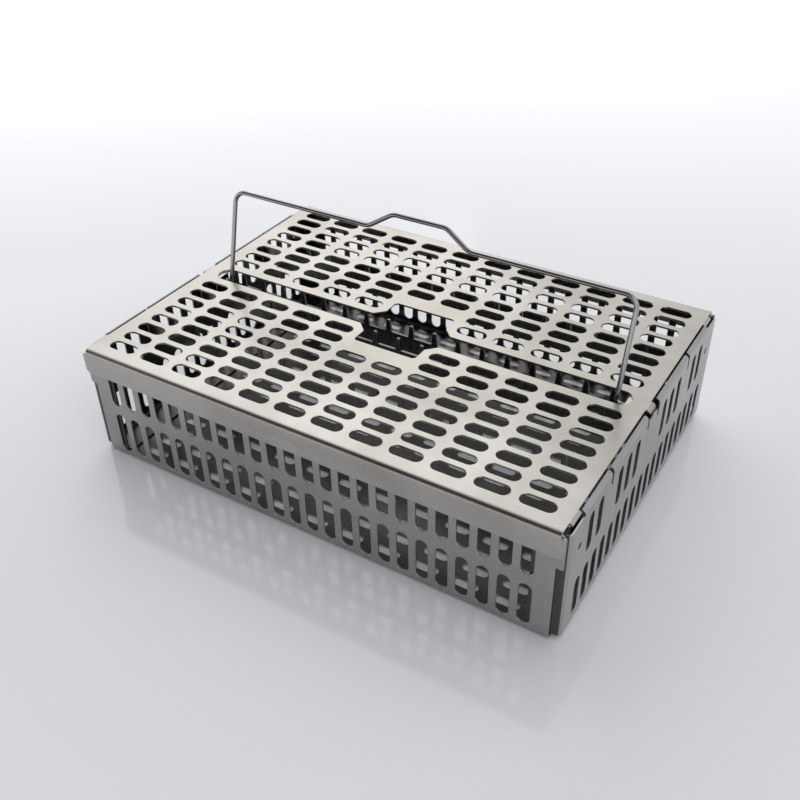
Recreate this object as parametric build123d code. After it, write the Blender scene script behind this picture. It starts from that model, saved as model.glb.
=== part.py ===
from build123d import *
from math import cos, floor, radians, sin
import os

# A dental instrument cassette: perforated folded sheet steel with a bent wire handle.
# Millimetres. +X runs along the long side, +Y to the rear, +Z up.
# The origin is the middle of the underside, on the surface that the cassette stands on.

# Overall sizes
length = 264.0  # over the outer faces of the end walls
width = 189.0  # over the outer faces of the front and rear walls
height = 64.0  # from the underside to the top of the lid
sheet = 1.0  # thickness of the tray, the end walls and the lid
fold_radius = 2.5  # outer radius of the folds
fold_steps = 3  # flats in a fold

# Clearances
slip = 0.3  # least gap between pieces that move past each other
lid_wall_gap = 0.5  # lid flange to the outer face of a front or rear wall
lid_end_gap = 1.0  # lid plate to the folded top edge of an end wall
lid_seat_gap = 0.9  # lid plate to the front and rear walls, which clear the lid's folds
min_web = 2.0  # least metal between two cut-outs

# Tray
wall_setback = 4.8  # front and rear walls stop this short of the end walls' outer faces
shoulder_setback = 1.4  # and their upper corners this short
shoulder_drop = 20.6  # top of the lid to the underside of those corners
wall_corner = 2.0
wall_slot_length = 23.7
wall_slot_width = 6.2
wall_pitch = 10.0
wall_border = 10.0  # plain metal beyond the last slots
lower_row_base = 3.9
row_gap = 5.8  # plain band between the two rows
floor_slot_length = 58.0
floor_slot_width = 10.0
floor_pitch_x = 66.0
floor_pitch_y = 32.0
floor_border = 8.0

# End walls
lip_radius = 2.3  # top edge, folded inwards
lip_setback = 15.5  # the folded top edge stops this short of the tray's outer faces
return_depth = 16.0  # bottom and side flanges, from the outer face
end_slot_length = 21.3
end_slot_width = 5.5
end_lower_base = 6.2
end_upper_base = 36.0
end_lower_pitch = 9.4
end_upper_pitch = 10.4
end_border = 8.0  # plain metal beyond the last lower slots
end_upper_border = 5.0  # plain metal from a rack slit or latch hole to the nearest upper slot
latch_hole = 3.4
latch_inset = 12.5  # middle of the hole to the tray's outer face
latch_height = 47.5
small_round_sides = 8  # flats in a latch hole or a pressed pip
notch_width = 15.0
notch_depth = 4.0

# Lid
flange_depth = 13.8
flange_overhang = 1.9  # each end of a flange reaches past the plate
flange_corner = 1.8
lid_slot_length = 15.5
lid_slot_width = 6.6
lid_pitch_x = 20.6
lid_pitch_y = 10.0
first_row = 14.1  # middle of the lid to the nearest row
lid_border_x = 7.0
lid_border_y = 4.0
handle_slot_width = 11.1
handle_slot_margin = 6.2  # handle wire to the end of its slot
recess_length = 35.6
recess_width = 41.0
recess_chamfer = 5.4
recess_corner = 1.4
tab_width = 7.4
tab_radius = 2.1
ear_width = 9.0
ear_radius = 1.7
ear_depth = 20.0
ear_corner = 2.2
pip_radius = 1.2
pip_rise = 0.3
snap_drop = 8.5  # top of the lid to the snap dimples in the flanges
snap_radius = 1.6
snap_rise = 0.2

# Instrument racks
rack_sheet = 1.5
rack_inner_y = 6.5
rack_outer_y = 49.5
rack_base = 45.0
rack_band = 10.5
tooth_height = 7.0
tooth_pitch = 13.75
tooth_width = 3.4
tooth_tip = 2.0
shoulder_width = 4.4
shoulder_rise = 5.0

# Handle
wire = 2.5
wire_sides = 8  # a round wire, in few flats
leg_inset = 18.4  # middle of a leg to the outer face of the end wall
lean = 14.5  # degrees that the handle leans to the rear
foot_drop = 4.0  # top of the lid to the middle of the feet, with the handle up
bar_rise = 51.3  # middle of the feet to the middle of the bar
grip_rise = 8.7
grip_flat = 30.2
grip_length = 57.2
foot_radius = 3.0
corner_radius = 6.5
grip_radius = 8.0

# Clips under the lid, astride the handle's feet
clip_sheet = 0.6
clip_length = 5.0
clip_span = 19.0
clip_gap = 5.6  # between the two legs
clip_reach = 2.4  # middle of the feet to the lower edge of a clip's legs
clip_setback = 8.4  # wall's outer face to the clip

# Places that several pieces share
end_face = length / 2
end_inner = end_face - sheet
side_face = width / 2
side_inner = side_face - sheet
wall_x = end_face - wall_setback
shoulder_x = end_face - shoulder_setback
lid_underside = height - sheet
wall_top = lid_underside - lid_seat_gap
upper_row_base = lower_row_base + wall_slot_length + row_gap
lid_x = end_face - lip_radius - lid_end_gap
flange_face = side_face + lid_wall_gap + sheet
lid_y = flange_face - fold_radius
lip_y = side_face - lip_setback
latch_y = side_face - latch_inset
slit_width = rack_sheet + 2 * slip
foot_tip = end_face - lip_radius - slip
leg_x = end_face - leg_inset
foot_height = height - foot_drop


def spread(span, pitch):
    """Evenly spaced places about 0 that fit in a span."""
    gaps = floor(span / pitch)
    return [(i - gaps / 2) * pitch for i in range(gaps + 1)]


def slot_points(long, wide, blunt=False):
    """A slot along X. A blunt one's ends are half hexagons, the others' are pointed."""
    r = wide / 2
    straight = long / 2 - r * cos(radians(30))
    tip = [(long / 2, -r / 2), (long / 2, r / 2)] if blunt else [(long / 2, 0)]
    right = [(straight, -r)] + tip + [(straight, r)]
    return right + [(-x, -y) for x, y in right]


def outline(points, x=0, y=0):
    return Wire.make_polygon([(px + x, py + y) for px, py in points], close=True)


def level_slots(places, long, wide, blunt=False):
    return [outline(slot_points(long, wide, blunt), x, y) for x, y in places]


def upright_slots(places, base, long, wide):
    points = [(-y, x) for x, y in slot_points(long, wide)]
    return [outline(points, x, base + long / 2) for x in places]


def rectangle(half, low, high):
    return outline([(-half, low), (half, low), (half, high), (-half, high)])


def plate(edge, holes, plane, thickness=sheet):
    """Sheet with holes, standing on a plane."""
    return extrude(plane * Face(edge, holes), thickness, dir=plane.z_dir)


def fold(plane, centre, quadrant, long, radius=fold_radius):
    """A quarter turn of sheet about an axis along the plane's normal."""
    turns = [radians(90 * i / fold_steps) for i in range(fold_steps + 1)]
    outer = [(radius * cos(a), radius * sin(a)) for a in turns]
    inner = [((radius - sheet) * cos(a), (radius - sheet) * sin(a)) for a in reversed(turns)]
    ring = Face(outline([(quadrant[0] * u, quadrant[1] * v) for u, v in outer + inner]))
    return Pos(*centre) * extrude(plane * ring, long / 2, dir=plane.z_dir, both=True)


def block(low, high):
    """A box between two opposite corners."""
    size = [b - a for a, b in zip(low, high)]
    middle = [(a + b) / 2 for a, b in zip(low, high)]
    return Pos(*middle) * Box(*size)


def front_and_rear(shape):
    return shape + mirror(shape, about=Plane.XZ)


def left_and_right(shape):
    return shape + mirror(shape, about=Plane.YZ)


def tray_shell():
    """Floor, front wall and rear wall, folded from one perforated sheet."""
    flat_y = side_face - fold_radius
    columns = spread(2 * (end_face - return_depth - floor_border) - floor_slot_length, floor_pitch_x)
    rows = spread(2 * (flat_y - floor_border) - floor_slot_width, floor_pitch_y)
    holes = level_slots([(x, y) for x in columns for y in rows], floor_slot_length, floor_slot_width)
    bottom = plate(rectangle(wall_x, -flat_y, flat_y), holes, Plane.XY)

    places = spread(2 * (wall_x - wall_border) - wall_slot_width, wall_pitch)
    holes = upright_slots(places, lower_row_base, wall_slot_length, wall_slot_width)
    holes += upright_slots(places, upper_row_base, wall_slot_length, wall_slot_width)
    side = plate(wall_outline(), holes, Plane.XZ.offset(side_inner))
    side += fold(Plane.YZ, (0, -flat_y, fold_radius), (-1, -1), 2 * wall_x)
    return bottom + front_and_rear(side)


def wall_outline():
    """A front or rear wall above its fold. Its upper corners reach out over the end walls' folds."""
    shoulder_base = height - shoulder_drop
    right = [
        (wall_x, fold_radius),
        (wall_x, shoulder_base),
        (shoulder_x, shoulder_base),
        (shoulder_x, wall_top - wall_corner),
        (shoulder_x - wall_corner, wall_top),
    ]
    return outline(right + [(-x, z) for x, z in reversed(right)])


def end_wall():
    """The right end wall, which stands on the floor: its top, bottom and sides are folded inwards."""
    flat_y = side_inner - fold_radius
    fold_x = end_face - fold_radius
    face_base = sheet + fold_radius
    face_top = height - lip_radius
    lower = spread(2 * (flat_y - end_border) - end_slot_width, end_lower_pitch)
    holes = upright_slots(lower, end_lower_base, end_slot_length, end_slot_width)
    holes += upright_slots(upper_end_places(), end_upper_base, end_slot_length, end_slot_width)
    latch = RegularPolygon(latch_hole / 2, small_round_sides, major_radius=False).face().outer_wire()
    holes += [Pos(y, latch_height) * latch for y in (-latch_y, latch_y)]
    wall = plate(rectangle(flat_y, face_base, face_top), holes, Plane.YZ.offset(end_inner))

    wall += fold(Plane.XZ, (fold_x, 0, face_base), (1, -1), 2 * flat_y)
    wall += block((end_face - return_depth, -flat_y, sheet), (fold_x, flat_y, 2 * sheet))
    wall += fold(Plane.XZ, (end_face - lip_radius, 0, face_top), (1, 1), 2 * lip_y, lip_radius)
    side_height = face_top - face_base
    side = fold(Plane.XY, (fold_x, flat_y, face_base + side_height / 2), (1, 1), side_height)
    side += block((end_face - return_depth, side_inner - sheet, face_base), (fold_x, side_inner, face_top))
    wall += front_and_rear(side)

    past = end_face + sheet
    inside = end_face - return_depth
    notch = block((inside, -notch_width / 2, height - notch_depth), (past, notch_width / 2, height + sheet))
    cuts = [notch]
    for y in (-rack_outer_y, -rack_inner_y, rack_inner_y, rack_outer_y):
        low = (inside, y - slit_width / 2, rack_base)
        cuts.append(block(low, (past, y + slit_width / 2, height + sheet)))
    return wall - cuts


def upper_end_places():
    """Middles of the upper slots, which keep clear of the rack slits and the latch holes."""
    places = []
    for near, far in ((rack_inner_y, rack_outer_y), (rack_outer_y, latch_y)):
        room = far - near - slit_width - 2 * end_upper_border - end_slot_width
        middle = (near + far) / 2
        places += [middle + y for y in spread(room, end_upper_pitch)]
    return [side * y for y in places for side in (-1, 1)]


def handle_opening():
    """The long slot that the handle drops through, with the finger recess at its middle."""
    half = handle_slot_width / 2
    wide = recess_length / 2
    deep = recess_width / 2
    corner = [(wide + recess_chamfer, half), (wide, half + recess_chamfer), (wide, deep)]
    rear = corner + [(-x, y) for x, y in reversed(corner)]
    recess = make_face(Polyline(*rear, *[(-x, -y) for x, y in rear], close=True))
    deep_corners = recess.vertices().filter_by(lambda v: abs(v.Y) > half + recess_chamfer + slip)
    recess = chamfer(deep_corners, recess_corner)
    slot_length = 2 * (leg_x + handle_slot_margin) + wire
    slot = Face(outline(slot_points(slot_length, handle_slot_width, blunt=True)))
    return (recess + slot).face().outer_wire()


def lid_slots():
    columns = spread(2 * (lid_x - lid_border_x) - lid_slot_length, lid_pitch_x)
    room = lid_y - lid_border_y - lid_slot_width / 2 - first_row
    rows = [first_row + i * lid_pitch_y for i in range(floor(room / lid_pitch_y) + 1)]
    clear_x = (recess_length + lid_slot_length) / 2 + min_web
    clear_y = (recess_width + lid_slot_width) / 2 + min_web
    places = [(x, side * y) for x in columns for y in rows for side in (-1, 1)]
    kept = [(x, y) for x, y in places if abs(x) > clear_x or abs(y) > clear_y]
    return level_slots(kept, lid_slot_length, lid_slot_width, blunt=True)


def lid_flange():
    """The front flange with its fold, and the snap dimple that holds the lid closed."""
    half = lid_x + flange_overhang
    low = height - flange_depth
    top = height - fold_radius
    strip = block((-half, -flange_face, low), (half, -flange_face + sheet, top))
    lower_corners = strip.edges().filter_by(Axis.Y).group_by(Axis.Z)[0]
    strip = chamfer(lower_corners, flange_corner)
    snap_z = height - snap_drop
    strip += Plane((0, -flange_face + sheet, snap_z), z_dir=(0, 1, 0)) * pip(snap_radius, snap_rise)
    strip -= Plane((0, -flange_face, snap_z), z_dir=(0, 1, 0)) * pip(snap_radius, snap_rise)
    return strip + fold(Plane.YZ, (0, -lid_y, top), (-1, 1), 2 * lid_x)


def pip(radius, rise):
    """A shallow pressed pip on the XY plane."""
    return extrude(RegularPolygon(radius, small_round_sides), rise, taper=45)


def lid_ear():
    """One corner ear, folded down inside the end wall, with a pip that faces the latch hole."""
    near = lip_y + 2 * slip
    middle = near + ear_width / 2
    low = height - ear_depth
    top = height - ear_radius
    face = lid_x + ear_radius
    ear = block((face - sheet, near, low), (face, near + ear_width, top))
    lower_corners = ear.edges().filter_by(Axis.X).group_by(Axis.Z)[0]
    ear = chamfer(lower_corners, ear_corner)
    ear += Plane((face, latch_y, latch_height), z_dir=(1, 0, 0)) * pip(pip_radius, pip_rise)
    return ear + fold(Plane.XZ, (lid_x, middle, top), (1, 1), ear_width, ear_radius)


def lid():
    """Perforated plate with flanges at front and rear, corner ears and an end tab at each end."""
    holes = lid_slots() + [handle_opening()]
    top = plate(rectangle(lid_x, -lid_y, lid_y), holes, Plane.XY.offset(lid_underside))
    tab_x = foot_tip - slip
    tab = block((lid_x, -tab_width / 2, lid_underside), (tab_x, tab_width / 2, height))
    tab += fold(Plane.XZ, (tab_x, 0, height - tab_radius), (1, 1), tab_width, tab_radius)
    return top + front_and_rear(lid_flange()) + left_and_right(front_and_rear(lid_ear()) + tab)


def rack(y):
    """A comb strip. Its ends rest in the end walls' slits and its teeth part the instruments."""
    shoulder = end_inner - 2 * slip
    teeth = spread(2 * (shoulder - tooth_pitch) - tooth_width, tooth_pitch)
    band_top = rack_base + rack_band
    points = [(end_face, band_top), (end_face, rack_base), (-end_face, rack_base), (-end_face, band_top)]
    points += stub(-shoulder, -shoulder + shoulder_width, band_top, shoulder_rise, shoulder_width)
    for x in teeth:
        points += stub(x - tooth_width / 2, x + tooth_width / 2, band_top, tooth_height, tooth_tip)
    points += stub(shoulder - shoulder_width, shoulder, band_top, shoulder_rise, shoulder_width)
    return plate(outline(points), [], Plane.XZ.offset(-y - rack_sheet / 2), rack_sheet)


def stub(left, right, base, rise, tip):
    """Points of one tooth, which narrows to its tip."""
    taper = (right - left - tip) / 2
    return [(left, base), (left + taper, base + rise), (right - taper, base + rise), (right, base)]


def handle():
    """One bent wire: two out-turned feet, two legs, and a bar with a raised grip."""
    right = [
        (grip_flat / 2, bar_rise + grip_rise),
        (grip_length / 2, bar_rise),
        (leg_x, bar_rise),
        (leg_x, 0),
        (foot_tip, 0),
    ]
    left = [(-x, y) for x, y in reversed(right)]
    right_radii = [grip_radius, grip_radius, corner_radius, foot_radius]
    path = FilletPolyline(*left, *right, radius=right_radii[::-1] + right_radii)
    start = Plane(origin=path @ 0, z_dir=path % 0)
    flat = sweep(start * RegularPolygon(wire / 2, wire_sides, major_radius=False), path=path)
    up = Plane((0, 0, foot_height), x_dir=(1, 0, 0), z_dir=(0, -cos(radians(lean)), sin(radians(lean))))
    return up * flat


def handle_clip():
    """The right clip: a strip under the lid, with a leg on either side of the handle's foot."""
    far = end_face - clip_setback
    near = far - clip_length
    top = lid_underside
    bridge = block((near, -clip_span / 2, top - clip_sheet), (far, clip_span / 2, top))
    low = foot_height - clip_reach
    leg = block((near, clip_gap / 2, low), (far, clip_gap / 2 + clip_sheet, top - clip_sheet))
    return bridge + front_and_rear(leg)


def pieces():
    right_wall = end_wall()
    right_clip = handle_clip()
    return {
        "tray_shell": tray_shell(),
        "end_wall_right": right_wall,
        "end_wall_left": mirror(right_wall, about=Plane.YZ),
        "rack_front": rack(-rack_outer_y),
        "rack_mid_front": rack(-rack_inner_y),
        "rack_mid_rear": rack(rack_inner_y),
        "rack_rear": rack(rack_outer_y),
        "lid": lid(),
        "handle_clip_right": right_clip,
        "handle_clip_left": mirror(right_clip, about=Plane.YZ),
        "handle": handle(),
    }


os.makedirs("parts", exist_ok=True)
for name, shape in pieces().items():
    export_step(shape, f"parts/{name}.step")
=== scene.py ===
from math import cos, floor, pi, radians, sin, tan

import bmesh
import bpy
from mathutils import Matrix, Vector
from mathutils.geometry import tessellate_polygon


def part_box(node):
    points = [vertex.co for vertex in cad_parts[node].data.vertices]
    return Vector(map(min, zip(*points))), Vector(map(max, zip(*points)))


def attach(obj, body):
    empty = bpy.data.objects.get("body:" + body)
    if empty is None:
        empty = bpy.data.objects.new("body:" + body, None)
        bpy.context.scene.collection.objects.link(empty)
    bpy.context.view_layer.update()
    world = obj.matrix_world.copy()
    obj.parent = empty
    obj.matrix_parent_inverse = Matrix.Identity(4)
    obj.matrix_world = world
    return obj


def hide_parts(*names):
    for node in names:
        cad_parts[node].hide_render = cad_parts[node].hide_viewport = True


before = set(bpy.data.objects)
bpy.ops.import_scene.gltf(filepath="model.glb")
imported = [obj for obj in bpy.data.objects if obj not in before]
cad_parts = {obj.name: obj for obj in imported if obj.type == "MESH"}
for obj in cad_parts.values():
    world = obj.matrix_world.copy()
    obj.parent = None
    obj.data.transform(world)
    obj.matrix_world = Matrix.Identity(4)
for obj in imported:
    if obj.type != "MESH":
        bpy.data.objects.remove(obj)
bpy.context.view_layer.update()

MM = 0.001

# ---- Driving sizes, in millimetres
# Sheet and folds
sheet = 1.0
edge_break = 0.16  # the punched edges are slightly broken
fold_radius = 2.5  # to the outer face, as for every fold
slip = 0.3  # the play between pieces that fit into each other
small_corner = 0.3
punched_corner = 0.4
mouth_corner = 0.5
free_corner = 1.0

# Tray
wall_setback = 4.8  # from the end walls' outer faces to the walls' lower ends
shoulder_drop = 20.6  # from the lid's top down to where the walls get longer
shoulder_corner = 0.6
wall_slot_length = 23.7
wall_slot_width = 6.2
wall_pitch = 10.0
wall_border = 9.0
wall_corner = 3.0
lower_row_base = 3.9  # the height of the lower slots' lowest points
row_gap = 5.8
floor_slot_length = 13.0
floor_slot_width = 4.6
floor_border = 4.0

# End walls
lip_radius = 2.3
lip_setback = 15.5  # from the side walls' outer faces to the lip's ends
lip_corner = 0.8
return_depth = 16.0  # of the sides and the bottom, which fold inwards
return_corner = 2.0
end_slot_length = 21.3
end_slot_width = 5.5
end_lower_base = 6.2
end_upper_base = 36.0
end_lower_pitch = 9.4
end_upper_pitch = 10.4
end_upper_border = 5.0
end_border = 8.0
latch_hole = 3.4
latch_inset = 12.5
latch_height = 47.5
notch_width = 15.0
notch_depth = 4.0
notch_corner = 0.15
notch_step_corner = 0.05  # as wide as the step from the notch to the slit beside it

# Lid
flange_depth = 13.8
flange_overhang = 1.9
flange_corner = 2.6
lid_end_gap = 1.0
lid_slot_length = 16.3
lid_slot_width = 6.6
lid_pitch_x = 20.6
lid_pitch_y = 10.0
first_row = 14.1
lid_border_x = 7.0
lid_border_y = 4.0
min_web = 2.0  # the least sheet between a slot and the finger recess
handle_slot_width = 11.1
handle_slot_margin = 6.2
recess_length = 35.6  # of the finger recess
recess_width = 41.0
recess_chamfer = 5.4
recess_corner = 2.0
tab_width = 7.4
tab_radius = 2.1
ear_width = 9.0
ear_radius = 1.7
ear_depth = 20.0
pip_radius = 1.2  # of the raised dimples on the ears
pip_rise = 0.3
snap_drop = 8.5  # from the lid's top down to the hollow dimples in its flanges
snap_radius = 1.8
snap_depth = 0.35

# Racks
rack_inner_y = 6.5
rack_outer_y = 49.5
rack_sheet = 1.5
rack_band = 10.5  # the strip below the teeth
tooth_height = 7.0
tooth_pitch = 13.75
tooth_width = 3.4
tooth_tip = 2.0
tooth_corner = 0.6
shoulder_width = 4.4
shoulder_tip = 4.2
shoulder_rise = 5.0

# Handle
wire = 2.5
leg_inset = 18.4
lean = radians(14.5)
foot_drop = 4.0  # from the lid's top down to the feet
bar_rise = 51.3  # from the feet to the bar, along the lean
grip_rise = 8.7
grip_flat = 30.2
grip_length = 57.2
foot_radius = 3.0
corner_radius = 6.5
grip_radius = 8.0

# ---- Smoothness of the meshes
outline_step = radians(9)
slot_step = radians(18)
comb_step = radians(20)
wire_step = radians(4)
wire_rings = 6
fold_steps = 8
hole_sides = 24
dimple_sides = 20
dimple_rings = 4
sharp_angle = radians(32)
full_round = 0.999  # a slot's round ends stop just short of meeting in one point
cut_tolerance = 1e-4
fold_tolerance = 1e-6

# ---- The finish of the steel
anisotropy = 0.3
sheet_grain = (40, 900, 900)  # its lines run along the axis with the small number
sheet_grain_depth = 0.03
wire_grain = (900, 900, 60)
wire_grain_depth = 0.008
grain_scale = 5.0
grain_detail = 4.0
grain_bump = 0.25
gloss_range = (0.75, 1.3)  # shares of the steel's roughness
cloud_scale = 22.0
cloud_detail = 6.0
cloud_roughness = 0.6
cloud_range = (0.32, 0.62)
inner_shade_depth = 0.95  # the painted shade on the inner faces starts this deep, in millimetres

# ---- The studio, in metres
floor_half = 6
floor_color = (0.93, 0.93, 0.945, 1)
floor_roughness = 0.10
# Painted glow on the floor, seen by the camera and in reflections, fading to painted shade near
# the box.
floor_shade_centre = (0.1, -0.2, 0)
floor_shade_reach = (0.15, 1.1)
floor_glow = 0.3
room_color = (0.78, 0.80, 0.84)
bright_color = (1.3, 1.3, 1.29)
bright_side = (-0.50, 0.74, 0.42)
bright_reach = (0.84, 1.0)  # cosines of the angle from the bright side
dark_color = (0.06, 0.045, 0.04)
dark_side = (-0.30, -0.62, 0.72)
dark_reach = (0.68, 0.92)
backdrop_strength = 0.95
lamp_target = (0, 0, 0.03)
camera_place = (0.2205, -0.3571, 0.3293)
camera_azimuth = radians(32.13476)
camera_elevation = radians(36.42785)
camera_roll = radians(-1.20155)
focal_length = 43.8
sensor_width = 36

# ---- Places from the frame, in millimetres
end_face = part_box("end_wall_right")[1][0] / MM
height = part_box("lid")[1][2] / MM
flange_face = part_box("lid")[1][1] / MM
side_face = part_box("tray_shell")[1][1] / MM
shoulder_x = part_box("tray_shell")[1][0] / MM
wall_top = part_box("tray_shell")[1][2] / MM
end_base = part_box("end_wall_right")[0][2] / MM
rack_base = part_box("rack_front")[0][2] / MM

end_inner = end_face - sheet
side_inner = side_face - sheet
wall_x = end_face - wall_setback
lid_x = end_face - lip_radius - lid_end_gap
lid_y = flange_face - fold_radius
lip_y = side_face - lip_setback
latch_y = side_face - latch_inset
slit_width = rack_sheet + 2 * slip
foot_tip = end_face - lip_radius - slip
upper_row_base = lower_row_base + wall_slot_length + row_gap
leg_x = end_face - leg_inset
foot_height = height - foot_drop


def folded(radius):
    """The length of sheet that a right-angled fold takes up."""
    return radius * pi / 2


# ---- Flat outlines: the sheet lies on the left of each loop
def rounded(corners, closed=True, step=outline_step):
    """A loop or path through (x, y, radius) corners, with an arc at each that has a radius."""
    points = []
    last = len(corners) - 1
    for i, (x, y, radius) in enumerate(corners):
        here = Vector((x, y))
        if radius == 0 or (not closed and i in (0, last)):
            points.append(here)
            continue
        before = Vector(corners[i - 1][:2]) - here
        after = Vector(corners[(i + 1) % len(corners)][:2]) - here
        half = before.angle(after) / 2
        middle = (before.normalized() + after.normalized()).normalized()
        centre = here + middle * radius / sin(half)
        start = here + before.normalized() * radius / tan(half) - centre
        end = here + after.normalized() * radius / tan(half) - centre
        turn = -start.angle_signed(end)
        steps = max(2, round(abs(turn) / step))
        for k in range(steps + 1):
            points.append(centre + Matrix.Rotation(turn * k / steps, 2) @ start)
    return points


def obround(x, y, long, wide, upright=False):
    """A slot's loop, clockwise, because it is a hole."""
    r = wide / 2
    a = long / 2
    corners = [(a, r), (a, -r), (-a, -r), (-a, r)]
    loop = rounded([(u, v, r * full_round) for u, v in corners], step=slot_step)
    if upright:
        loop = [Vector((-p.y, p.x)) for p in loop]
    return [Vector((x, y)) + p for p in loop]


def disc(x, y, radius, sides=hole_sides):
    """A round hole's loop, clockwise."""
    turns = [2 * pi * k / sides for k in range(sides)]
    return [Vector((x + radius * cos(turn), y - radius * sin(turn))) for turn in turns]


def inset(loop, distance):
    """The loop moved towards its left, into the sheet."""
    moved = []
    for i, here in enumerate(loop):
        along_in = (here - loop[i - 1]).normalized()
        along_out = (loop[(i + 1) % len(loop)] - here).normalized()
        left_in = Vector((-along_in.y, along_in.x))
        left_out = Vector((-along_out.y, along_out.x))
        moved.append(here + (left_in + left_out) * distance / (1 + left_in.dot(left_out)))
    return moved


def mirrored(quarter):
    """A whole outline from the quarter that runs from the X axis round to the Y axis."""
    right = [(x, -y, r) for x, y, r in reversed(quarter)] + quarter
    return right + [(-x, -y, r) for x, y, r in right]


def spread(span, pitch):
    """As many places as the span holds at this pitch, about its middle."""
    gaps = floor(span / pitch)
    return [(i - gaps / 2) * pitch for i in range(gaps + 1)]


# ---- Sheet metal: a flat blank with holes, then its folds
def dimple(bm, x, y, radius, rise, level):
    """A shallow round dimple in one face of a sheet. Gives the verts of its rim."""
    rims = []
    for k in range(dimple_rings):
        near = 1 - k / dimple_rings
        z = level + rise * cos(pi / 2 * near) ** 2
        loop = disc(x, y, near * radius, dimple_sides)
        rims.append([bm.verts.new((p.x, p.y, z)) for p in loop])
    for outer, inner in zip(rims, rims[1:]):
        for i in range(dimple_sides):
            bm.faces.new((outer[i - 1], outer[i], inner[i], inner[i - 1]))
    bm.faces.new(rims[-1])
    return rims[0]


def blank(loops, thickness=sheet, dimples=()):
    """A flat sheet on z 0 with broken edges, in a new bmesh. Dimples are (x, y, radius, rise)."""
    bm = bmesh.new()
    levels = (
        (edge_break, 0),
        (0, edge_break),
        (0, thickness - edge_break),
        (edge_break, thickness),
    )
    rings = []
    for distance, z in levels:
        level = [inset(loop, distance) if distance else loop for loop in loops]
        rings.append([[bm.verts.new((p.x, p.y, z)) for p in loop] for loop in level])
    for below, above in zip(rings, rings[1:]):
        for low, high in zip(below, above):
            for i in range(len(low)):
                bm.faces.new((low[i - 1], low[i], high[i], high[i - 1]))
    for ring, level in ((rings[0], 0), (rings[-1], thickness)):
        edges = ring + [dimple(bm, *place, level) for place in dimples]
        verts = [v for loop in edges for v in loop]
        flat = [[Vector((v.co.x, v.co.y, 0)) for v in loop] for loop in edges]
        for triangle in tessellate_polygon(flat):
            bm.faces.new([verts[i] for i in triangle])
    bmesh.ops.recalc_face_normals(bm, faces=bm.faces)
    return bm


def fold(bm, axis, start, sign, radius, outer_up, within=None):
    """Folds what lies past a line by a right angle.

    The axis is 0 for x or 1 for y, and the line is at start on its sign's side. With outer_up the
    sheet is folded down and its upper face is the outer one. Otherwise it is folded up. within
    keeps the fold to a band of the other axis.
    """
    arc = folded(radius)
    normal = Vector((0, 0, 0))
    normal[axis] = 1

    def inside(v):
        return within is None or within[0] <= v.co[1 - axis] <= within[1]

    for k in range(-1, fold_steps + 1):
        faces = [f for f in bm.faces if all(inside(v) for v in f.verts)]
        edges = {e for f in faces for e in f.edges}
        verts = {v for f in faces for v in f.verts}
        bmesh.ops.bisect_plane(
            bm,
            geom=list(verts) + list(edges) + list(faces),
            plane_co=normal * sign * (start + arc * k / fold_steps),
            plane_no=normal,
            dist=cut_tolerance,
        )
    for v in bm.verts:
        past = sign * v.co[axis] - start
        if past <= fold_tolerance or not inside(v):
            continue
        depth = sheet - v.co.z if outer_up else v.co.z
        turn = min(past / radius, pi / 2)
        left_over = past - arc if past > arc else 0
        along = start + (radius - depth) * sin(turn) + left_over * cos(turn)
        drop = radius - (radius - depth) * cos(turn) + left_over * sin(turn)
        v.co[axis] = sign * along
        v.co.z = sheet - drop if outer_up else drop


def finish_piece(bm, name, place, body, replaces, material):
    """A mesh object from a bmesh in millimetres, set in place and given to its body."""
    bmesh.ops.transform(bm, matrix=Matrix.Scale(MM, 4) @ place, verts=bm.verts)
    bmesh.ops.recalc_face_normals(bm, faces=bm.faces)
    mesh = bpy.data.meshes.new(name)
    bm.to_mesh(mesh)
    bm.free()
    mesh.shade_smooth()
    mesh.set_sharp_from_angle(angle=sharp_angle)
    piece = bpy.data.objects.new(name, mesh)
    bpy.context.scene.collection.objects.link(piece)
    mesh.materials.append(material)
    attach(piece, body)
    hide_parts(*replaces)
    return piece


# ---- The tray: floor, front wall and rear wall from one blank
def make_tray(material):
    flat_y = side_face - fold_radius
    unrolled = flat_y + folded(fold_radius) - fold_radius  # adds to a height on a wall
    shoulder_y = unrolled + height - shoulder_drop
    quarter = [
        (wall_x, shoulder_y, shoulder_corner),
        (shoulder_x, shoulder_y, shoulder_corner),
        (shoulder_x, unrolled + wall_top, wall_corner),
    ]
    loops = [rounded(mirrored(quarter))]
    floor_x = end_face - return_depth - floor_border
    floor_y = flat_y - floor_border
    for x in spread(2 * floor_x - floor_slot_length, lid_pitch_x):
        for y in spread(2 * floor_y - floor_slot_width, lid_pitch_y):
            loops.append(obround(x, y, floor_slot_length, floor_slot_width))
    for x in spread(2 * (wall_x - wall_border) - wall_slot_width, wall_pitch):
        for base in (lower_row_base, upper_row_base):
            y = unrolled + base + wall_slot_length / 2
            for side in (1, -1):
                loops.append(obround(x, side * y, wall_slot_length, wall_slot_width, upright=True))
    bm = blank(loops)
    for sign in (1, -1):
        fold(bm, 1, flat_y, sign, fold_radius, outer_up=False)
    place = Matrix.Identity(4)
    return finish_piece(bm, "tray_sheet", place, "tray", ["tray_shell"], material)


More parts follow.
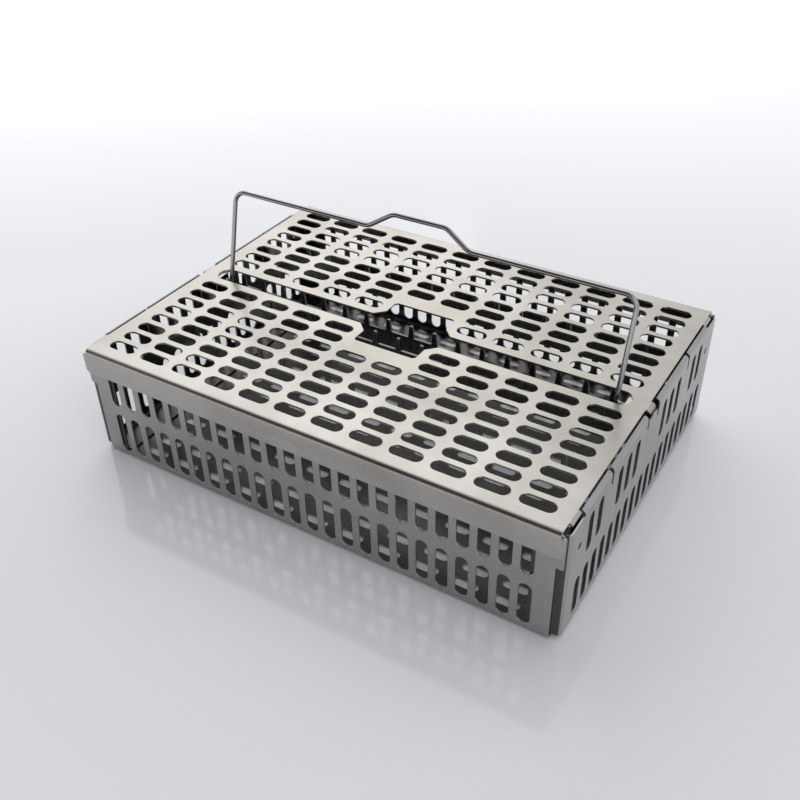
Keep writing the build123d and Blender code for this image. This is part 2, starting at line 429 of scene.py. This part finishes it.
# ---- The end walls: the top, bottom and both sides of the blank fold inwards
def end_outline():
    """The end wall's blank: x is across it, and y is its height."""
    flat_y = side_inner - fold_radius
    flange = folded(fold_radius) + return_depth - fold_radius
    side_low = end_base + fold_radius
    face_top = height - lip_radius
    lip_top = face_top + folded(lip_radius)
    notch_low = height - notch_depth
    half_slit = slit_width / 2
    half = [
        (flat_y, side_low - flange, return_corner),
        (flat_y, side_low, 0),
        (flat_y + flange, side_low, free_corner),
        (flat_y + flange, face_top, free_corner),
        (flat_y, face_top, 0),
        (lip_y, face_top, mouth_corner),
        (lip_y, lip_top, lip_corner),
        (rack_outer_y + half_slit, lip_top, mouth_corner),
        (rack_outer_y + half_slit, rack_base, punched_corner),
        (rack_outer_y - half_slit, rack_base, punched_corner),
        (rack_outer_y - half_slit, lip_top, mouth_corner),
        (notch_width / 2, lip_top, lip_corner),
        (notch_width / 2, notch_low, notch_corner),
        (rack_inner_y + half_slit, notch_low, notch_step_corner),
        (rack_inner_y + half_slit, rack_base, punched_corner),
        (rack_inner_y - half_slit, rack_base, punched_corner),
        (rack_inner_y - half_slit, notch_low, mouth_corner),
    ]
    return rounded(half + [(-x, y, r) for x, y, r in reversed(half)])


def upper_end_places():
    """The upper slots keep clear of the racks' slits and the latch holes."""
    places = []
    for near, far in ((rack_inner_y, rack_outer_y), (rack_outer_y, latch_y)):
        room = far - near - slit_width - 2 * end_upper_border - end_slot_width
        places += [(near + far) / 2 + y for y in spread(room, end_upper_pitch)]
    return [side * y for y in places for side in (-1, 1)]


def make_end_wall(side, name, material):
    flat_y = side_inner - fold_radius
    face_top = height - lip_radius
    lower_places = spread(2 * (flat_y - end_border) - end_slot_width, end_lower_pitch)
    loops = [end_outline()]
    for places, base in ((lower_places, end_lower_base), (upper_end_places(), end_upper_base)):
        z = base + end_slot_length / 2
        loops += [obround(y, z, end_slot_length, end_slot_width, upright=True) for y in places]
    loops += [disc(y, latch_height, latch_hole / 2) for y in (-latch_y, latch_y)]
    bm = blank(loops)
    # The outer face is up. The blank is centred between its top and bottom folds to make them.
    side_low = end_base + fold_radius
    middle = (side_low + face_top) / 2
    lip_band = (-lip_y - free_corner, lip_y + free_corner)
    bmesh.ops.translate(bm, vec=(0, -middle, 0), verts=bm.verts)
    fold(bm, 1, middle - side_low, -1, fold_radius, outer_up=True)
    fold(bm, 1, face_top - middle, 1, lip_radius, outer_up=True, within=lip_band)
    bmesh.ops.translate(bm, vec=(0, middle, 0), verts=bm.verts)
    for sign in (1, -1):
        fold(bm, 0, flat_y, sign, fold_radius, outer_up=True)
    # The blank's x, y and z become the wall's Y, Z and outward X.
    stand = Matrix(((0, 0, 1, end_inner), (1, 0, 0, 0), (0, 1, 0, 0), (0, 0, 0, 1)))
    place = Matrix.Scale(side, 4, (1, 0, 0)) @ stand
    return finish_piece(bm, name + "_sheet", place, "tray", [name], material)


# ---- The lid
def lid_outline():
    """A quarter of the lid's blank, from the end tab round to the flange's corner."""
    flange = folded(fold_radius) + flange_depth - fold_radius
    tab = foot_tip - slip + folded(tab_radius)
    ear_low = lid_x + folded(ear_radius) + ear_depth - ear_radius
    ear_corner = ear_width / 4
    near = lip_y + 2 * slip
    far = near + ear_width
    return [
        (tab, tab_width / 2, free_corner),
        (lid_x, tab_width / 2, punched_corner),
        (lid_x, near, punched_corner),
        (ear_low, near, ear_corner),
        (ear_low, far, ear_corner),
        (lid_x, far, small_corner),
        (lid_x, lid_y + folded(fold_radius), 0),
        (lid_x + flange_overhang, lid_y + folded(fold_radius), small_corner),
        (lid_x + flange_overhang, lid_y + flange, flange_corner),
    ]


def handle_opening():
    """The handle's slot with the finger recess across its middle, clockwise."""
    half = handle_slot_width / 2
    wide = recess_length / 2
    end = leg_x + wire / 2 + handle_slot_margin
    quarter = [
        (wide, recess_width / 2, recess_corner),
        (wide, half + recess_chamfer, free_corner),
        (wide + recess_chamfer, half, free_corner),
        (end, half, half * full_round),
    ]
    right = quarter + [(x, -y, r) for x, y, r in reversed(quarter)]
    return rounded(right + [(-x, -y, r) for x, y, r in right])


def lid_rows():
    """How far the lid's rows of slots are from its middle."""
    room = lid_y - lid_border_y - lid_slot_width / 2 - first_row
    return [first_row + i * lid_pitch_y for i in range(floor(room / lid_pitch_y) + 1)]


def make_lid(material):
    quarter = lid_outline()
    rear_left = [(-x, y, r) for x, y, r in reversed(quarter)]
    front_left = [(-x, -y, r) for x, y, r in quarter]
    front_right = [(x, -y, r) for x, y, r in reversed(quarter)]
    loops = [rounded(quarter + rear_left + front_left + front_right), handle_opening()]
    clear_x = (recess_length + lid_slot_length) / 2 + min_web
    clear_y = (recess_width + lid_slot_width) / 2 + min_web
    for x in spread(2 * (lid_x - lid_border_x) - lid_slot_length, lid_pitch_x):
        for y in lid_rows():
            if abs(x) > clear_x or y > clear_y:
                for side in (1, -1):
                    loops.append(obround(x, side * y, lid_slot_length, lid_slot_width))
    snap_y = lid_y + folded(fold_radius) + snap_drop - fold_radius
    pip_x = lid_x + folded(ear_radius) + height - ear_radius - latch_height
    dimples = [(0, y, snap_radius, -snap_depth) for y in (-snap_y, snap_y)]
    for x in (-pip_x, pip_x):
        dimples += [(x, y, pip_radius, pip_rise) for y in (-latch_y, latch_y)]
    bm = blank(loops, dimples=dimples)
    for sign in (1, -1):
        fold(bm, 1, lid_y, sign, fold_radius, outer_up=True)
    tab_band = (-tab_width / 2 - mouth_corner, tab_width / 2 + mouth_corner)
    rear_band = (lip_y, lip_y + ear_width + free_corner)
    front_band = (-rear_band[1], -rear_band[0])
    for sign in (1, -1):
        fold(bm, 0, foot_tip - slip, sign, tab_radius, outer_up=True, within=tab_band)
        fold(bm, 0, lid_x, sign, ear_radius, outer_up=True, within=rear_band)
        fold(bm, 0, lid_x, sign, ear_radius, outer_up=True, within=front_band)
    place = Matrix.Translation((0, 0, height - sheet))
    return finish_piece(bm, "lid_sheet", place, "lid", ["lid"], material)


# ---- The racks
def tooth(x, wide, tip, rise, tip_corner):
    """One tooth of a comb, from its right foot to its left."""
    band_top = rack_base + rack_band
    taper = (wide - tip) / 2
    right = x + wide / 2
    left = x - wide / 2
    return [
        (right, band_top, small_corner),
        (right - taper, band_top + rise, tip_corner),
        (left + taper, band_top + rise, tip_corner),
        (left, band_top, small_corner),
    ]


def make_rack(name, y, material):
    inner_end = end_inner - 2 * slip
    band_top = rack_base + rack_band
    shoulder_place = inner_end - shoulder_width / 2
    shoulder = (shoulder_width, shoulder_tip, shoulder_rise, free_corner)
    corners = [
        (-end_face, rack_base, small_corner),
        (end_face, rack_base, small_corner),
        (end_face, band_top, mouth_corner),
    ]
    corners += tooth(shoulder_place, *shoulder)
    for x in reversed(spread(2 * (inner_end - tooth_pitch) - tooth_width, tooth_pitch)):
        corners += tooth(x, tooth_width, tooth_tip, tooth_height, tooth_corner)
    corners += tooth(-shoulder_place, *shoulder)
    corners.append((-end_face, band_top, mouth_corner))
    bm = blank([rounded(corners, step=comb_step)], rack_sheet)
    stand = Matrix(((1, 0, 0, 0), (0, 0, -1, y + rack_sheet / 2), (0, 1, 0, 0), (0, 0, 0, 1)))
    return finish_piece(bm, name + "_comb", stand, "tray", [name], material)


# ---- The handle
def make_handle(material):
    right = [
        (grip_flat / 2, bar_rise + grip_rise, grip_radius),
        (grip_length / 2, bar_rise, grip_radius),
        (leg_x, bar_rise, corner_radius),
        (leg_x, 0, foot_radius),
        (foot_tip - edge_break, 0, 0),
    ]
    left = [(-x, y, r) for x, y, r in reversed(right)]
    path = rounded(left + right, closed=False, step=wire_step)
    curve = bpy.data.curves.new("handle_wire", "CURVE")
    curve.dimensions = "3D"
    curve.bevel_depth = wire / 2 * MM
    curve.bevel_resolution = wire_rings
    curve.use_fill_caps = True
    spline = curve.splines.new("POLY")
    spline.points.add(len(path) - 1)
    for point, p in zip(spline.points, path):
        y = p.y * sin(lean)
        z = foot_height + p.y * cos(lean)
        point.co = (p.x * MM, y * MM, z * MM, 1)
    scratch = bpy.data.objects.new("handle_path", curve)
    mesh = bpy.data.meshes.new_from_object(scratch)
    bpy.data.objects.remove(scratch)
    bm = bmesh.new()
    bm.from_mesh(mesh)
    bmesh.ops.scale(bm, vec=(1 / MM, 1 / MM, 1 / MM), verts=bm.verts)
    place = Matrix.Identity(4)
    return finish_piece(bm, "handle_wire", place, "handle", ["handle"], material)


# ---- Materials
def add_node(tree, kind, inputs, **settings):
    """A new shader node. Each input is linked to a socket, or set to a value."""
    node = tree.nodes.new("ShaderNode" + kind)
    for name, value in settings.items():
        setattr(node, name, value)
    for name, value in inputs.items():
        if isinstance(value, bpy.types.NodeSocket):
            tree.links.new(value, node.inputs[name])
        else:
            node.inputs[name].default_value = value
    return node


def new_material(name):
    """A new material, with its node tree and its shader."""
    material = bpy.data.materials.new(name)
    material.use_nodes = True
    return material, material.node_tree, material.node_tree.nodes["Principled BSDF"]


def inner_shade_mask(tree, place):
    """1 on the inner faces of the tray's sheets and within, where painted shade goes, 0 on their
    outer faces and folds.
    """
    middle = (0, 0, height / 2 * MM)
    centred = add_node(tree, "VectorMath", {0: place, 1: middle}, operation="SUBTRACT")
    split = add_node(tree, "SeparateXYZ", {"Vector": centred.outputs["Vector"]})
    mask = 1.0
    for axis, face in (("X", end_face), ("Y", side_face), ("Z", height / 2)):
        limit = (face - inner_shade_depth) * MM
        near = add_node(tree, "Math", {0: split.outputs[axis]}, operation="ABSOLUTE")
        inputs = {0: near.outputs["Value"], 1: limit}
        within = add_node(tree, "Math", inputs, operation="LESS_THAN")
        inputs = {0: mask, 1: within.outputs["Value"]}
        mask = add_node(tree, "Math", inputs, operation="MULTIPLY").outputs["Value"]
    return mask


def steel(name, color, stain, rough, grain=sheet_grain, grain_depth=sheet_grain_depth, inner=1.0):
    """Rolled stainless steel: fine drawn grain, soft cloudy patches and faint warm stains.

    On the inner faces the colour is taken down to the inner share, as painted shade standing in
    for the shadow inside the box.
    """
    material, tree, shader = new_material(name)
    shader.inputs["Metallic"].default_value = 1.0
    shader.inputs["Anisotropic"].default_value = anisotropy
    place = add_node(tree, "TexCoord", {}).outputs["Object"]

    stretch = add_node(tree, "Mapping", {"Vector": place, "Scale": grain})
    inputs = {"Vector": stretch.outputs["Vector"], "Scale": grain_scale, "Detail": grain_detail}
    lines = add_node(tree, "TexNoise", inputs).outputs["Fac"]
    inputs = {
        "Vector": place,
        "Scale": cloud_scale,
        "Detail": cloud_detail,
        "Roughness": cloud_roughness,
    }
    clouds = add_node(tree, "TexNoise", inputs).outputs["Fac"]

    tint = add_node(tree, "ValToRGB", {"Fac": clouds})
    for stop, position, shade in zip(tint.color_ramp.elements, cloud_range, (stain, color)):
        stop.position = position
        stop.color = (*shade, 1)
    # Painted shade: the colour is darkened on the inner faces by the inner share.
    inputs = {"Value": inner_shade_mask(tree, place), "To Min": 1.0, "To Max": inner}
    share = add_node(tree, "MapRange", inputs)
    inputs = {0: tint.outputs["Color"], "Scale": share.outputs["Result"]}
    shaded_tint = add_node(tree, "VectorMath", inputs, operation="SCALE")
    tree.links.new(shaded_tint.outputs["Vector"], shader.inputs["Base Color"])

    low, high = gloss_range
    inputs = {"Value": lines, "To Min": rough * low, "To Max": rough * high}
    gloss = add_node(tree, "MapRange", inputs)
    tree.links.new(gloss.outputs["Result"], shader.inputs["Roughness"])

    inputs = {"Height": lines, "Strength": grain_bump, "Distance": grain_depth * MM}
    bump = add_node(tree, "Bump", inputs)
    tree.links.new(bump.outputs["Normal"], shader.inputs["Normal"])
    return material


def floor_material():
    """A pale floor with a painted glow, seen by the camera and in the steel's reflections, which
    fades near the box to leave painted shade around it.
    """
    material, tree, shader = new_material("pale_floor")
    shader.inputs["Base Color"].default_value = floor_color
    shader.inputs["Roughness"].default_value = floor_roughness
    place = add_node(tree, "TexCoord", {}).outputs["Object"]
    inputs = {0: place, 1: floor_shade_centre}
    away = add_node(tree, "VectorMath", inputs, operation="DISTANCE").outputs["Value"]
    near, far = floor_shade_reach
    inputs = {"Value": away, "From Min": near, "From Max": far, "To Max": floor_glow}
    share = add_node(tree, "MapRange", inputs, interpolation_type="SMOOTHSTEP")
    # The painted glow shows only to the camera and in reflections, and is weaker near the box as
    # painted shade.
    path = add_node(tree, "LightPath", {})
    inputs = {0: path.outputs["Is Camera Ray"], 1: path.outputs["Is Glossy Ray"]}
    seen = add_node(tree, "Math", inputs, operation="MAXIMUM")
    inputs = {0: seen.outputs["Value"], 1: share.outputs["Result"]}
    glow = add_node(tree, "Math", inputs, operation="MULTIPLY")
    shader.inputs["Emission Color"].default_value = (1, 1, 1, 1)
    tree.links.new(glow.outputs["Value"], shader.inputs["Emission Strength"])
    return material


# ---- Stage
def make_floor():
    bm = bmesh.new()
    bmesh.ops.create_grid(bm, x_segments=4, y_segments=4, size=floor_half)
    mesh = bpy.data.meshes.new("floor")
    bm.to_mesh(mesh)
    bm.free()
    piece = bpy.data.objects.new("floor", mesh)
    bpy.context.scene.collection.objects.link(piece)
    mesh.materials.append(floor_material())


def area_light(name, location, size, power):
    """A square lamp, aimed at the box."""
    lamp = bpy.data.lights.new(name, "AREA")
    lamp.size = size
    lamp.energy = power
    light = bpy.data.objects.new(name, lamp)
    light.location = location
    aim = Vector(lamp_target) - Vector(location)
    light.rotation_euler = aim.to_track_quat("-Z", "Y").to_euler()
    bpy.context.scene.collection.objects.link(light)


def side_of_room(tree, place, room, direction, reach, color):
    """The room's colour, turned to another one towards a direction."""
    inputs = {0: place, 1: Vector(direction).normalized()}
    towards = add_node(tree, "VectorMath", inputs, operation="DOT_PRODUCT")
    inputs = {"Value": towards.outputs["Value"], "From Min": reach[0], "From Max": reach[1]}
    share = add_node(tree, "MapRange", inputs, interpolation_type="SMOOTHSTEP")
    inputs = {"Factor": share.outputs["Result"], "A": room, "B": (*color, 1)}
    return add_node(tree, "Mix", inputs, data_type="RGBA").outputs["Result"]


def make_world():
    """A pale studio for the steel to reflect, with a bright side behind the box and a dark one
    behind the camera. The camera itself sees an even white."""
    world = bpy.data.worlds.new("studio")
    bpy.context.scene.world = world
    world.use_nodes = True
    tree = world.node_tree
    tree.nodes.clear()
    place = add_node(tree, "TexCoord", {}).outputs["Generated"]
    room = side_of_room(tree, place, (*room_color, 1), bright_side, bright_reach, bright_color)
    room = side_of_room(tree, place, room, dark_side, dark_reach, dark_color)
    lighting = add_node(tree, "Background", {"Color": room})
    backdrop = add_node(tree, "Background", {"Color": (1, 1, 1, 1), "Strength": backdrop_strength})
    path = add_node(tree, "LightPath", {})
    inputs = {
        "Fac": path.outputs["Is Camera Ray"],
        1: lighting.outputs["Background"],
        2: backdrop.outputs["Background"],
    }
    mix = add_node(tree, "MixShader", inputs)
    add_node(tree, "OutputWorld", {"Surface": mix.outputs["Shader"]})


def make_camera():
    lens = bpy.data.cameras.new("camera")
    lens.lens = focal_length
    lens.sensor_width = sensor_width
    camera = bpy.data.objects.new("camera", lens)
    turn = (
        Matrix.Rotation(camera_azimuth, 4, "Z")
        @ Matrix.Rotation(pi / 2 - camera_elevation, 4, "X")
        @ Matrix.Rotation(camera_roll, 4, "Z")
    )
    camera.matrix_world = Matrix.Translation(camera_place) @ turn
    bpy.context.scene.collection.objects.link(camera)
    bpy.context.scene.camera = camera


# The inner shares darken the inner faces as painted shade.
wall_steel = steel("wall_steel", (0.42, 0.41, 0.40), (0.35, 0.34, 0.33), rough=0.28, inner=0.22)
lid_steel = steel("lid_steel", (0.495, 0.475, 0.445), (0.40, 0.38, 0.345), rough=0.26, inner=0.3)
rack_steel = steel("rack_steel", (0.48, 0.47, 0.46), (0.38, 0.37, 0.36), rough=0.26, inner=0.45)
spring_steel = steel("spring_steel", (0.60, 0.59, 0.58), (0.50, 0.49, 0.48), rough=0.2)
wire_steel = steel(
    "wire_steel",
    (0.42, 0.41, 0.405),
    (0.33, 0.32, 0.315),
    rough=0.06,
    grain=wire_grain,
    grain_depth=wire_grain_depth,
)

make_tray(wall_steel)
make_end_wall(1, "end_wall_right", wall_steel)
make_end_wall(-1, "end_wall_left", wall_steel)
make_lid(lid_steel)
make_rack("rack_front", -rack_outer_y, rack_steel)
make_rack("rack_mid_front", -rack_inner_y, rack_steel)
make_rack("rack_mid_rear", rack_inner_y, rack_steel)
make_rack("rack_rear", rack_outer_y, rack_steel)
make_handle(wire_steel)
for clip_name in ("handle_clip_left", "handle_clip_right"):
    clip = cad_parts[clip_name]
    clip.data.materials.clear()
    clip.data.materials.append(spring_steel)

make_floor()
make_world()
make_camera()
area_light("key", (-0.85, 0.75, 1.15), size=1.3, power=2.4)
area_light("fill", (0.9, -0.5, 1.0), size=0.9, power=1.2)

bpy.context.scene.view_settings.view_transform = "Standard"
